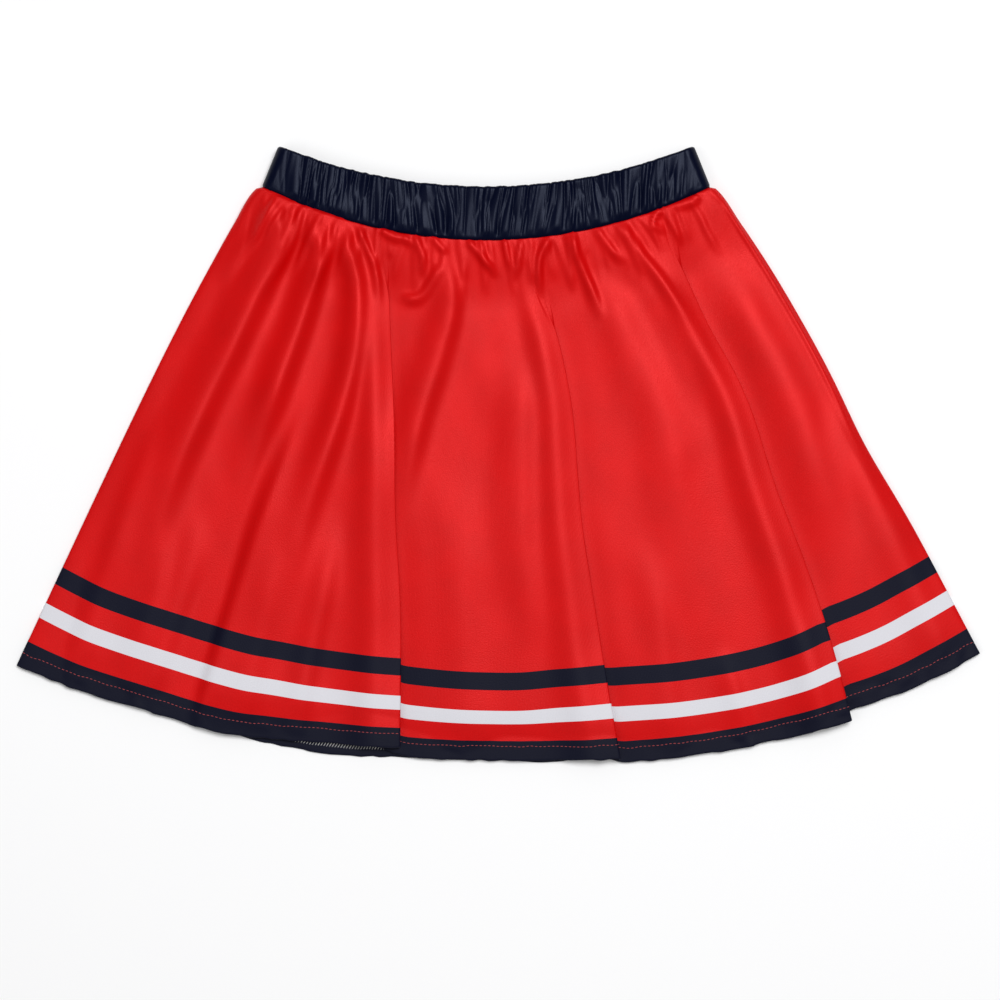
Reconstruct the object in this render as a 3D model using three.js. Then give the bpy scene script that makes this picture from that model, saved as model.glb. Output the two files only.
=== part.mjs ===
// A flared knit cheer skirt lying flat on its back, waist towards +Y, front panel up.
//
// The garment is a flattened tube: every row across it is a ring made of a front
// half and a back half, joined at two side seams. A row is drawn on a shallow arc
// (the waist and the hem both hang down in the middle), so each piece is modelled
// straight, as a flat strip of cloth, and then bent onto its rows:
//   across  p from -2 to 2: the left round edge, the flat middle, the right round edge
//   along   d in mm below the waist seam, or above it on the waistband
//   off     o in mm outwards from the middle of the cloth
import * as THREE from 'three';

// ---- Driving dimensions, in millimetres ----------------------------------------

// Skirt body, measured on the garment as it lies.
const hemWidth = 672;
const hemSag = 72;
const waistWidth = 312;
const waistSag = 37;
const waistShift = -8;
const skirtLength = 365;
const sideBow = 8.2;

// Waistband: a folded casing with a flat elastic inside.
const bandTopWidth = 288;
const bandTopSag = 28;
const elasticWidth = 32;
const elasticThickness = 1.2;
const casingRoom = 0.9;
const casingEase = 1.15;
const waistClear = 6.6;

// Cloth, hem and seams.
const clothThickness = 0.7;
const hemAllowance = 12;
const hemRoom = 0.35;
const hemClear = 7;
const bandEase = 40;
const sewGap = 0.35;
const sideGap = 0.7;
const overlockThickness = 1.2;
const waistOverlockWidth = 7;
const sideOverlockWidth = 6;
const hemOverlockWidth = 4;
const hemOverlockThickness = 0.6;
const threadThickness = 0.5;
const stitchBelowEdge = 3;

// Elastic join, and the two satin labels sewn inside.
const joinHeight = 24;
const joinWidth = 9;
const joinZigzags = 4;
const joinLine = 1.2;
const labelPly = 0.3;
const labelRoom = 0.35;
const sizeLabelWidth = 24;
const sizeLabelDrop = 15;
const careLabelWidth = 26;
const careLabelLength = 48;
const careLabelBelowWaist = 110;
const careLabelFall = 16;
const labelTack = 4;

// How finely the strips are divided before they are bent.
const edgeSteps = 4;
const middleSteps = 20;
const ringSteps = 2 * edgeSteps + middleSteps;
const foldSteps = 4;
const seamSteps = 10;
const easeRows = 5;
const bodyRows = 8;
const labelSteps = 12;

// ---- Sizes that follow from them -------------------------------------------------

const halfCloth = clothThickness / 2;
const casingHalf = elasticThickness / 2 + casingRoom + clothThickness;
const bandHeight = elasticWidth + casingHalf + 2 * casingEase;
const bandRadius = waistClear / 2 + casingHalf;
const bandMidZ = bandRadius + casingHalf;
const hemFoldRadius = (clothThickness + hemRoom) / 2;
const hemInnerFace = halfCloth + hemRoom + clothThickness;
const skirtRadius = hemClear / 2 + hemInnerFace;
const skirtMidZ = skirtRadius + halfCloth;
const middleY = (skirtLength + bandHeight + bandTopSag) / 2;
const waistY = skirtLength - middleY;
const hemTurnTop = skirtLength - hemAllowance;
const hemStitchHeight = hemAllowance - stitchBelowEdge;
const hemOverlockTop = hemTurnTop - hemOverlockWidth / 2;

// A thread inside the casing is a third of the room there, with a third on each side.
const casingThread = casingRoom / 3;

// ---- Colours ---------------------------------------------------------------------

const redKnit = new THREE.MeshStandardMaterial({ color: 0xd81e22, roughness: 0.42, metalness: 0 });
const navySatin = new THREE.MeshStandardMaterial({ color: 0x171f33, roughness: 0.4, metalness: 0 });
const whiteElastic = new THREE.MeshStandardMaterial({ color: 0xe9e9e4, roughness: 0.8, metalness: 0 });
const redThread = new THREE.MeshStandardMaterial({ color: 0xc4474d, roughness: 0.6, metalness: 0 });
const whiteThread = new THREE.MeshStandardMaterial({ color: 0xe4e2dd, roughness: 0.7, metalness: 0 });
const navyThread = new THREE.MeshStandardMaterial({ color: 0x1b2236, roughness: 0.6, metalness: 0 });
const whiteSatin = new THREE.MeshStandardMaterial({ color: 0xf2f1ee, roughness: 0.35, metalness: 0 });

// ---- Rows across the garment -----------------------------------------------------

const mix = THREE.MathUtils.lerp;

// A row's arc: its radius, half its length along the arc, and the lowest point of the arc.
function arcRow(width, sag, x, y, midZ, radius) {
  const halfChord = width / 2;
  const bend = (halfChord ** 2 + sag ** 2) / (2 * sag);
  const halfLength = bend * Math.asin(halfChord / bend);
  return { bend, halfLength, x, y, midZ, radius };
}

// The row at distance d below the waist seam. The tube is thickest at the band, and
// its sides bow outwards, most of all a quarter of the way down.
function skirtRow(d) {
  const v = d / skirtLength;
  const bow = sideBow * Math.sin(Math.PI * Math.sqrt(v));
  const eased = THREE.MathUtils.smoothstep(d, 0, bandEase);
  return arcRow(
    mix(waistWidth, hemWidth, v) + 2 * bow,
    mix(waistSag, hemSag, v),
    mix(waistShift, 0, v),
    waistY - d,
    mix(bandMidZ, skirtMidZ, eased),
    mix(bandRadius, skirtRadius, eased),
  );
}

// The row at height h above the waist seam, on the waistband.
function bandRow(h) {
  const t = h / bandHeight;
  return arcRow(
    mix(waistWidth, bandTopWidth, t),
    mix(waistSag, bandTopSag, t),
    waistShift,
    waistY + h,
    bandMidZ,
    bandRadius,
  );
}

// A point on the ring of a row: p across it, o outwards, side +1 front or -1 back.
function onRing(row, p, o, side) {
  const flat = row.halfLength - row.radius;
  const turn = Math.max(Math.abs(p) - 1, 0) * Math.PI / 2;
  const reach = row.radius + o;
  const s = THREE.MathUtils.clamp(p, -1, 1) * flat + Math.sign(p) * reach * Math.sin(turn);
  const angle = s / row.bend;
  return new THREE.Vector3(
    row.x + row.bend * Math.sin(angle),
    row.y + row.bend * (1 - Math.cos(angle)),
    row.midZ + side * reach * Math.cos(turn),
  );
}

// p at step k of a ring: the round edges take edgeSteps each, the middle the rest.
function stepP(k, end = 2) {
  if (k <= edgeSteps) {
    return -mix(end, 1, k / edgeSteps);
  }
  if (k >= ringSteps - edgeSteps) {
    return mix(1, end, (k - ringSteps + edgeSteps) / edgeSteps);
  }
  return mix(-1, 1, (k - edgeSteps) / middleSteps);
}

// How far p runs on a half ring, so that the two halves keep the side gap between them.
function lastP(row) {
  return 2 - sideGap / (Math.PI * row.radius);
}

// ---- Bending strips into place ---------------------------------------------------

// Moves every corner of a geometry by bend(x, y, z). A bend onto the back or onto
// the left mirrors the piece, so its faces are turned over to point out again.
function bent(geometry, bend) {
  const position = geometry.attributes.position;
  for (let i = 0; i < position.count; i += 1) {
    const moved = bend(position.getX(i), position.getY(i), position.getZ(i));
    position.setXYZ(i, moved.x, moved.y, moved.z);
  }
  geometry.deleteAttribute('uv');
  if (!geometry.index) {
    geometry.setIndex([...Array(position.count).keys()]);
  }
  if (signedVolume(geometry) < 0) {
    turnOver(geometry.index);
  }
  geometry.computeVertexNormals();
  return geometry;
}

// The volume inside the faces, negative when they point inwards.
function signedVolume(geometry) {
  const corners = [new THREE.Vector3(), new THREE.Vector3(), new THREE.Vector3()];
  let volume = 0;
  for (let i = 0; i < geometry.index.count; i += 3) {
    corners.forEach((corner, k) => {
      corner.fromBufferAttribute(geometry.attributes.position, geometry.index.getX(i + k));
    });
    volume += corners[0].dot(corners[1].cross(corners[2])) / 6;
  }
  return volume;
}

// Swaps two corners of every triangle.
function turnOver(index) {
  for (let i = 0; i < index.count; i += 3) {
    const first = index.getX(i);
    index.setX(i, index.getX(i + 1));
    index.setX(i + 1, first);
  }
}

// A strip of cloth round half a ring, folded along a path of {d, o, angle} stations.
// The angle turns the outward side of the cloth: 0 on the outer ply, 180 on the inner.
function foldedHalf(path, thickness, side, rowAt) {
  const strip = new THREE.BoxGeometry(ringSteps, path.length - 1, thickness, ringSteps, path.length - 1, 1);
  return bent(strip, (x, y, z) => {
    const station = path[Math.round((path.length - 1) / 2 - y)];
    const d = station.d + z * Math.sin(station.angle);
    const o = station.o + z * Math.cos(station.angle);
    const row = rowAt(d);
    return onRing(row, stepP(Math.round(x + ringSteps / 2), lastP(row)), o, side);
  });
}

// The half-turn of a fold, from the outer ply at o = 0 to the inner ply.
function foldTurn(d, radius) {
  const stations = [];
  for (let k = 0; k <= foldSteps; k += 1) {
    const angle = Math.PI * k / foldSteps;
    stations.push({ d: d + radius * Math.sin(angle), o: radius * (Math.cos(angle) - 1), angle });
  }
  return stations;
}

// A plain strip of given depth (d1 to d2) and thickness (o1 to o2) round half a ring.
function stripHalf(d1, d2, o1, o2, side, rowAt) {
  const middle = (o1 + o2) / 2;
  const path = [{ d: d1, o: middle, angle: 0 }, { d: d2, o: middle, angle: 0 }];
  return foldedHalf(path, o2 - o1, side, rowAt);
}

// ---- Pieces ----------------------------------------------------------------------

const skirt = new THREE.Group();

function addPiece(name, geometry, material) {
  const mesh = new THREE.Mesh(geometry, material);
  mesh.name = name;
  skirt.add(mesh);
}

// A skirt panel: one ply from the waist seam down, turned up inside at the hem.
function panel(side) {
  const path = [];
  for (let k = 0; k < easeRows; k += 1) {
    path.push({ d: mix(sewGap, bandEase, k / easeRows), o: 0, angle: 0 });
  }
  const foldStart = skirtLength - hemFoldRadius - halfCloth;
  for (let k = 0; k < bodyRows; k += 1) {
    path.push({ d: mix(bandEase, foldStart, k / bodyRows), o: 0, angle: 0 });
  }
  path.push(...foldTurn(foldStart, hemFoldRadius));
  path.push({ d: hemTurnTop, o: -2 * hemFoldRadius, angle: Math.PI });
  return foldedHalf(path, clothThickness, side, skirtRow);
}

// Half of the waistband casing: up the outside, over the top fold, down the inside.
// On the band d is a height above the seam.
function casing(side) {
  const turnRadius = casingHalf - halfCloth;
  const foldStart = bandHeight - casingHalf;
  const path = [{ d: 0, o: turnRadius, angle: 0 }];
  for (const station of foldTurn(foldStart, turnRadius)) {
    path.push({ d: station.d, o: station.o + turnRadius, angle: station.angle });
  }
  path.push({ d: 0, o: -turnRadius, angle: Math.PI });
  return foldedHalf(path, clothThickness, side, bandRow);
}

// The elastic: one closed flat ring, turned on the lathe and pressed onto the band's rows.
function elastic() {
  const low = casingEase;
  const high = low + elasticWidth;
  const half = elasticThickness / 2;
  const section = [
    new THREE.Vector2(ringSteps - half, low),
    new THREE.Vector2(ringSteps + half, low),
    new THREE.Vector2(ringSteps + half, high),
    new THREE.Vector2(ringSteps - half, high),
    new THREE.Vector2(ringSteps - half, low),
  ];
  const ring = new THREE.LatheGeometry(section, 2 * ringSteps);
  return bent(ring, (x, y, z) => {
    const row = bandRow(y);
    const turns = (Math.atan2(x, z) / (2 * Math.PI) + 1) % 1;
    const k = Math.round(turns * 2 * ringSteps) % (2 * ringSteps);
    const side = k < ringSteps ? 1 : -1;
    const step = side > 0 ? k : 2 * ringSteps - k;
    const p = stepP(step);
    return onRing(row, p, Math.hypot(x, z) - ringSteps, side);
  });
}

// The zigzag that closes the elastic into a ring, on its inner face at centre back.
function elasticJoin() {
  const foot = (bandHeight - casingHalf - joinHeight) / 2;
  const outline = new THREE.Shape();
  const points = 2 * joinZigzags;
  for (let k = 0; k <= points; k += 1) {
    const x = (k % 2 ? joinWidth : -joinWidth) / 2;
    const y = foot + joinHeight * k / points;
    if (k === 0) {
      outline.moveTo(x, y);
    } else {
      outline.lineTo(x, y);
    }
  }
  for (let k = points; k >= 0; k -= 1) {
    const x = (k % 2 ? joinWidth : -joinWidth) / 2 + joinLine;
    outline.lineTo(x, foot + joinHeight * k / points);
  }
  outline.closePath();
  const thread = new THREE.ExtrudeGeometry(outline, { depth: casingThread, bevelEnabled: false });
  const outer = -(elasticThickness / 2 + casingThread);
  return bent(thread, (x, y, z) => {
    const row = bandRow(y);
    return onRing(row, x / (row.halfLength - row.radius), outer - z, -1);
  });
}

// The overlocked waist allowance, inside the skirt just below the band.
const waistOverlockOuter = -(halfCloth + sewGap);
const waistOverlockInner = waistOverlockOuter - overlockThickness;

function waistOverlock(side) {
  return stripHalf(
    sewGap, sewGap + waistOverlockWidth, waistOverlockInner, waistOverlockOuter, side, skirtRow);
}

// The overlocked side allowance, pointing inwards between the two panels.
function sideOverlock(hand) {
  const from = 3 * sewGap + waistOverlockWidth;
  const to = hemOverlockTop - sewGap;
  const strip = new THREE.BoxGeometry(
    sideOverlockWidth, to - from, overlockThickness, 1, seamSteps, 1);
  return bent(strip, (x, y, z) => {
    const row = skirtRow((from + to) / 2 - y);
    const inwards = halfCloth + sewGap + sideOverlockWidth / 2 - x;
    return besideSeam(row, hand, inwards, z);
  });
}

// A point level with the side seam, so far inwards from the middle of the cloth there.
function besideSeam(row, hand, inwards, rise) {
  const angle = hand * (row.halfLength - inwards) / row.bend;
  return new THREE.Vector3(
    row.x + row.bend * Math.sin(angle),
    row.y + row.bend * (1 - Math.cos(angle)),
    row.midZ + rise,
  );
}

// The row of topstitching that holds the hem up. On the back it lies on the inside,
// so that the panel itself is what touches the floor.
function hemTopstitch(side) {
  const d = skirtLength - hemStitchHeight;
  const half = threadThickness / 2;
  const lift = side > 0 ? halfCloth + sewGap : -(hemInnerFace + sewGap + threadThickness);
  return stripHalf(d - half, d + half, lift, lift + threadThickness, side, skirtRow);
}

// The overlocked raw edge of the turned-up hem.
function hemOverlock(side) {
  const outer = -(hemInnerFace + sewGap);
  const stitchTop = skirtLength - hemStitchHeight - threadThickness / 2;
  const foot = Math.min(hemOverlockTop + hemOverlockWidth, stitchTop - sewGap);
  return stripHalf(hemOverlockTop, foot, outer - hemOverlockThickness, outer, side, skirtRow);
}

// The thread that joins the two casings at a side seam, between casing and elastic.
function bandSeamThread(hand) {
  const rise = bandHeight - 2 * casingHalf;
  const thread = new THREE.BoxGeometry(casingThread, rise, threadThickness, 1, edgeSteps, 1);
  const outwards = elasticThickness / 2 + casingRoom / 2;
  return bent(thread, (x, y, z) => {
    const row = bandRow(y + bandHeight / 2);
    return besideSeam(row, hand, -(outwards + x), z);
  });
}

// A label folded double, hanging from the waist seam at centre back.
const sizeLabelOuter = waistOverlockInner - sewGap;

function sizeLabel() {
  const radius = (labelPly + labelRoom) / 2;
  const path = [{ d: sewGap, o: 0, angle: 0 }, { d: sizeLabelDrop / 2, o: 0, angle: 0 }];
  path.push(...foldTurn(sizeLabelDrop - radius, radius));
  path.push({ d: sizeLabelDrop / 2, o: -2 * radius, angle: Math.PI });
  path.push({ d: sewGap, o: -2 * radius, angle: Math.PI });
  const strip = new THREE.BoxGeometry(
    sizeLabelWidth, path.length - 1, labelPly, 2, path.length - 1, 1);
  return bent(strip, (x, y, z) => {
    const station = path[Math.round((path.length - 1) / 2 - y)];
    const o = sizeLabelOuter - labelPly / 2 + station.o + z * Math.cos(station.angle);
    const row = skirtRow(station.d + z * Math.sin(station.angle));
    return onRing(row, x / (row.halfLength - row.radius), o, -1);
  });
}

// The row of stitches that tacks the size label to the waist seam.
function sizeLabelStitching() {
  const outer = sizeLabelOuter - 2 * labelPly - labelRoom - sewGap;
  const length = sizeLabelWidth - 2 * labelTack;
  const strip = new THREE.BoxGeometry(length, threadThickness, threadThickness, 2, 1, 1);
  return bent(strip, (x, y, z) => {
    const row = skirtRow(labelTack - y);
    return onRing(row, x / (row.halfLength - row.radius), outer - threadThickness / 2 + z, -1);
  });
}

// Where the care label's sewn end lies, in from the middle of the cloth at the seam.
const careLabelStart = halfCloth + 2 * sewGap + sideOverlockWidth;

// How low the care label lies: from the seam it falls to rest on the back panel.
function careLabelRise(row, inwards) {
  const floor = halfCloth + sewGap + labelPly - row.radius;
  return floor * THREE.MathUtils.smoothstep(inwards, careLabelStart, careLabelStart + careLabelFall);
}

// The care label: a satin tape sewn into the left side seam, lying on the back panel.
function careLabel() {
  const strip = new THREE.BoxGeometry(careLabelLength, careLabelWidth, labelPly, labelSteps, 2, 1);
  return bent(strip, (x, y, z) => {
    const row = skirtRow(careLabelBelowWaist - y);
    const inwards = careLabelStart + careLabelLength / 2 - x;
    return besideSeam(row, -1, inwards, careLabelRise(row, inwards) + z);
  });
}

// The stitches across the care label's sewn end.
function careLabelStitching() {
  const length = careLabelWidth - labelTack;
  const strip = new THREE.BoxGeometry(threadThickness, length, threadThickness, 1, 2, 1);
  return bent(strip, (x, y, z) => {
    const row = skirtRow(careLabelBelowWaist - y);
    const inwards = careLabelStart + threadThickness - x;
    const rise = (labelPly + threadThickness) / 2 + sewGap;
    return besideSeam(row, -1, inwards, rise + z);
  });
}

// ---- Assembly --------------------------------------------------------------------

for (const [half, side] of [['front', 1], ['back', -1]]) {
  addPiece(`${half}_panel`, panel(side), redKnit);
  addPiece(`waistband_${half}`, casing(side), navySatin);
  addPiece(`waist_seam_overlock_${half}`, waistOverlock(side), redThread);
  addPiece(`hem_topstitch_${half}`, hemTopstitch(side), redThread);
  addPiece(`hem_overlock_${half}`, hemOverlock(side), whiteThread);
}
for (const [edge, hand] of [['left', -1], ['right', 1]]) {
  addPiece(`side_seam_overlock_${edge}`, sideOverlock(hand), redThread);
  addPiece(`band_seam_thread_${edge}`, bandSeamThread(hand), navyThread);
}
addPiece('waist_elastic', elastic(), whiteElastic);
addPiece('elastic_join_stitching', elasticJoin(), whiteThread);
addPiece('size_label', sizeLabel(), whiteSatin);
addPiece('size_label_stitching', sizeLabelStitching(), whiteThread);
addPiece('care_label', careLabel(), whiteSatin);
addPiece('care_label_stitching', careLabelStitching(), whiteThread);

// The origin is the middle of the garment's footprint, on the floor.
const extent = new THREE.Box3().setFromObject(skirt);
const footprint = extent.getCenter(new THREE.Vector3());
skirt.position.set(-footprint.x, -footprint.y, -extent.min.z);

export default skirt;
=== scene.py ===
import math

import bmesh
import bpy
import numpy as np
from mathutils import Matrix, Vector


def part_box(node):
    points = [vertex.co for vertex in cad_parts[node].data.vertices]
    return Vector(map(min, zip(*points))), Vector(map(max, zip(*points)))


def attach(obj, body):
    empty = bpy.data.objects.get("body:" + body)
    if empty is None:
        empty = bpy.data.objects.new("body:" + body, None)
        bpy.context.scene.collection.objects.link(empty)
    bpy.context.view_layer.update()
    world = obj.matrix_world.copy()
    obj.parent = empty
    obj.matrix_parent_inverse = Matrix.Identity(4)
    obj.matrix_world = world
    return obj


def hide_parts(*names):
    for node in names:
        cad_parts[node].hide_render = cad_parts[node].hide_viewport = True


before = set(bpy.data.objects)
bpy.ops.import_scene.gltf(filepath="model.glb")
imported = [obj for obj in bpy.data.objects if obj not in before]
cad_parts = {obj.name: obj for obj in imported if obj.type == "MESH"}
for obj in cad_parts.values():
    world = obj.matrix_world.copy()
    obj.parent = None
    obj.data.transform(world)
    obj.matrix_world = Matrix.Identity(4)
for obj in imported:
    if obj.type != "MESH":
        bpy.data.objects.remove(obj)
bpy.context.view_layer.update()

MM = 0.001

# ---- Sizes ----
# The garment lies flat, waist towards +Y. Each row across it is an arc that hangs
# down in the middle. f runs across a row from -1 at the left seam to 1 at the right,
# and v down the skirt from 0 at the waist seam to 1 at the hem.

PANEL_LOW, PANEL_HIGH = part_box("front_panel")
BAND_LOW, BAND_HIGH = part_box("waistband_front")
CLOTH = 0.5 * MM

# How far the middle of a row hangs below its ends.
HEM_SAG, WAIST_SAG, BAND_TOP_SAG = 72 * MM, 37 * MM, 28 * MM

# The outline next to a plain flare: bowed sides, top corners out past the
# band, a shallow dent on the right, and more width at the top left.
SIDE_BOW, BOW_POWER = 10.3 * MM, 0.52
CORNER_OUT, CORNER_V = 2.0 * MM, (0.01, 0.08)
SHOULDER_V = (-0.004, 0.005)
RIGHT_DENT, DENT_V, DENT_SPREAD = 1.7 * MM, 0.55, 0.12
TOP_LEFT, TOP_LEFT_V = 1.2 * MM, (0.0, 0.2)
HEM_WIDER = 1.4 * MM
BAND_IN = 0.8 * MM
BAND_SHIFT = -1.0 * MM
BAND_TOP_NARROWER = 12.1 * MM

HEM_HALF = (PANEL_HIGH[0] - PANEL_LOW[0]) / 2 + HEM_WIDER
HEM_Y = PANEL_LOW[1]
CASING_HALF = 2.2 * MM
WAIST_HALF = (BAND_HIGH[0] - BAND_LOW[0]) / 2 - CASING_HALF
WAIST_X = (BAND_HIGH[0] + BAND_LOW[0]) / 2
WAIST_Y = BAND_LOW[1]
BAND_TALL = BAND_HIGH[1] - BAND_TOP_SAG - WAIST_Y
SKIRT_LONG = WAIST_Y - HEM_Y
BAND_MID_Z = BAND_HIGH[2] / 2
BAND_RADIUS = BAND_MID_Z - CASING_HALF

# Height of the side seams, the panels' gap there, and the front's least height inside.
SIDE_Z = 3.4 * MM
SEAM_GAP = 0.7 * MM
INNER_ROOM = 5.0 * MM

# The turned-up hem, and how far the stitching lies from the hem or the waist seam.
HEM_TURN = 12 * MM
HEM_ROLL = 0.4 * MM
HEM_STITCH = 9 * MM
HEM_OVERLOCK = 7.2 * MM
BACK_OVERLOCK = 6.0 * MM
WAIST_OVERLOCK = 5.0 * MM


def smooth(low, high, x):
    """0 below low, 1 above high, and a soft step between them."""
    t = np.clip((x - low) / (high - low), 0, 1)
    return t * t * (3 - 2 * t)


def through(points, x):
    """The value at x on a soft line through (x, value) points."""
    xs, ys = zip(*points)
    x = np.clip(x, xs[0], xs[-1])
    k = np.clip(np.searchsorted(xs, x, side="right") - 1, 0, len(xs) - 2)
    xs, ys = np.array(xs), np.array(ys)
    t = (x - xs[k]) / (xs[k + 1] - xs[k])
    slopes = np.gradient(ys, xs)
    span = xs[k + 1] - xs[k]
    return (
        ys[k] * (1 + 2 * t) * (1 - t) ** 2
        + ys[k + 1] * t * t * (3 - 2 * t)
        + span * slopes[k] * t * (1 - t) ** 2
        - span * slopes[k + 1] * t * t * (1 - t)
    )


# ---- Rows ----

def arc(half_chord, sag):
    """The radius of a row's arc and half its length."""
    radius = (half_chord ** 2 + sag ** 2) / (2 * sag)
    return radius, radius * np.arcsin(np.clip(half_chord / radius, -1, 1))


def skirt_row(v):
    """Radius, half length, and the lowest point of the row at v."""
    bow = SIDE_BOW * np.sin(math.pi * np.clip(v, 0, 1) ** BOW_POWER)
    corner = CORNER_OUT * (1 - smooth(*CORNER_V, v))
    shoulder = (BAND_IN + CORNER_OUT) * (1 - smooth(*SHOULDER_V, v))
    dent = RIGHT_DENT * np.exp(-((v - DENT_V) / DENT_SPREAD) ** 2)
    left = TOP_LEFT * (1 - smooth(*TOP_LEFT_V, v))
    half = WAIST_HALF + (HEM_HALF - WAIST_HALF) * v + bow + corner - shoulder - dent
    radius = arc(half + shoulder, WAIST_SAG + (HEM_SAG - WAIST_SAG) * v)[0]
    middle = WAIST_X * (1 - v) + HEM_WIDER * v - dent - left
    return radius, radius * np.arcsin(half / radius), middle, WAIST_Y - SKIRT_LONG * v


def band_row(t):
    """The same for the waistband, t from 0 at the seam to 1 at its top."""
    half = WAIST_HALF - BAND_IN * (1 - t) - BAND_TOP_NARROWER * t
    seam_radius = arc(WAIST_HALF, WAIST_SAG)[0]
    seam_sag = seam_radius - math.sqrt(seam_radius ** 2 - (WAIST_HALF - BAND_IN) ** 2)
    radius, half_long = arc(half, seam_sag + (BAND_TOP_SAG - seam_sag) * t)
    return radius, half_long, WAIST_X + BAND_SHIFT, WAIST_Y + BAND_TALL * t


def on_row(row, s, drop=0.0):
    """x and y at distance s along a row from its middle, moved drop outwards."""
    radius, _, x, y = row
    angle = s / radius
    return x + (radius + drop) * np.sin(angle), y + radius - (radius + drop) * np.cos(angle)


# ---- Unevenness ----

def soft_noise(x, y, seed):
    """Random values from 0 to 1 at whole x and y, and soft steps between them."""
    size = 128
    values = np.random.RandomState(seed).uniform(0, 1, (size, size))
    x, y = np.broadcast_arrays(np.asarray(x, float), np.asarray(y, float))
    i, j = np.floor(x).astype(int), np.floor(y).astype(int)
    tx, ty = smooth(0, 1, x - i), smooth(0, 1, y - j)
    i0, i1, j0, j1 = i % size, (i + 1) % size, j % size, (j + 1) % size
    low = values[i0, j0] * (1 - tx) + values[i1, j0] * tx
    high = values[i0, j1] * (1 - tx) + values[i1, j1] * tx
    return low * (1 - ty) + high * ty


def blended_noise(x, y, seed):
    """Values around 0 from three crossed noises, so that no spot comes out flat."""
    first = soft_noise(x + 50, y + 9, seed)
    second = soft_noise(0.8 * x + 0.5 * y + 31, y - 0.3 * x + 40, seed + 40)
    third = soft_noise(0.7 * x - 0.6 * y + 64, 1.1 * y + 0.4 * x + 40, seed + 80)
    return (first + second + third) / 3 - 0.5


# ---- Soft ridges of the front ----
# Each crest follows a line of (v, f) points. Its numbers are its height, and how wide
# it is on its left and on its right, all in mm. A height below 0 is a valley. It fades
# in from its first point and out towards its last, unless that lies past the hem.

CRESTS = [
    ([(0, -0.89), (0.06, -0.9), (0.12, -0.925), (0.2, -0.94)], 1.6, 7, 5),
    ([(0, -0.86), (0.05, -0.83), (0.12, -0.81), (0.28, -0.82), (0.47, -0.84), (0.66, -0.845),
      (0.98, -0.85)], 6.2, 17, 10),
    ([(0, -0.78), (0.05, -0.765), (0.1, -0.77), (0.2, -0.8)], 2.4, 5, 3.5),
    ([(0, -0.7), (0.05, -0.67), (0.1, -0.645), (0.2, -0.64), (0.34, -0.65), (0.48, -0.66),
      (0.8, -0.665)], 6, 13, 9),
    ([(0, -0.64), (0.05, -0.61), (0.11, -0.625), (0.18, -0.63)], 1.8, 4, 3),
    ([(0, -0.6), (0.05, -0.55), (0.12, -0.48), (0.24, -0.445), (0.35, -0.45), (0.46, -0.47),
      (0.6, -0.49), (0.86, -0.5)], 5.4, 12, 8),
    ([(0, -0.55), (0.04, -0.48), (0.09, -0.42), (0.16, -0.385)], 2.2, 4, 3),
    ([(0.32, -0.545), (0.46, -0.57), (0.6, -0.59), (0.72, -0.6), (0.86, -0.61), (1.1, -0.61)],
     3.6, 5, 34),
    ([(0.32, -0.6), (0.46, -0.63), (0.66, -0.64), (0.8, -0.65), (1.1, -0.655)], -2, 16, 6),
    ([(0.52, -0.4), (0.7, -0.41), (0.86, -0.42), (1.1, -0.42)], 2.4, 9, 7),
    ([(0.4, -0.93), (0.6, -0.92), (0.8, -0.9), (1.1, -0.88)], 2.2, 8, 9),
    ([(0.6, -0.83), (0.74, -0.79), (0.86, -0.785), (0.98, -0.8)], 1.7, 9, 6),
    ([(0.58, -0.75), (0.72, -0.73), (0.9, -0.735), (1.1, -0.74)], 1.5, 10, 7),
    ([(0.58, -0.54), (0.8, -0.535), (1.1, -0.53)], 1.2, 9, 7),
    ([(0.55, 0.36), (0.7, 0.37), (0.86, 0.36), (1.1, 0.35)], 1.4, 12, 9),
    ([(0.03, -0.17), (0.12, -0.135), (0.23, -0.17), (0.34, -0.215), (0.46, -0.24), (0.66, -0.26)],
     4.4, 17, 9),
    ([(0.4, -0.09), (0.6, -0.08), (0.8, -0.075), (1.1, -0.07)], 1.8, 18, 14),
    ([(0.22, 0.09), (0.4, 0.08), (0.56, 0.07), (0.95, 0.07)], 2.8, 20, 12),
    ([(0.03, 0.52), (0.15, 0.595), (0.28, 0.61), (0.4, 0.62)], 2.2, 14, 12),
    ([(0.08, 0.41), (0.2, 0.45), (0.37, 0.5), (0.51, 0.49), (0.86, 0.46)], 3.2, 22, 17),
    ([(0.8, 0.49), (0.9, 0.5), (1.1, 0.51)], 1.6, 9, 5),
    ([(0.1, 0.845), (0.3, 0.865), (0.45, 0.87), (0.6, 0.85), (0.9, 0.8)], 3.8, 17, 15),
    ([(0.4, 0.955), (0.58, 0.955), (0.76, 0.94), (1.1, 0.93)], 2.4, 13, 9),
    ([(0, 0.985), (0.18, 0.982), (0.36, 0.984), (0.62, 0.982)], 1.5, 2.2, 1.8),
]

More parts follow.
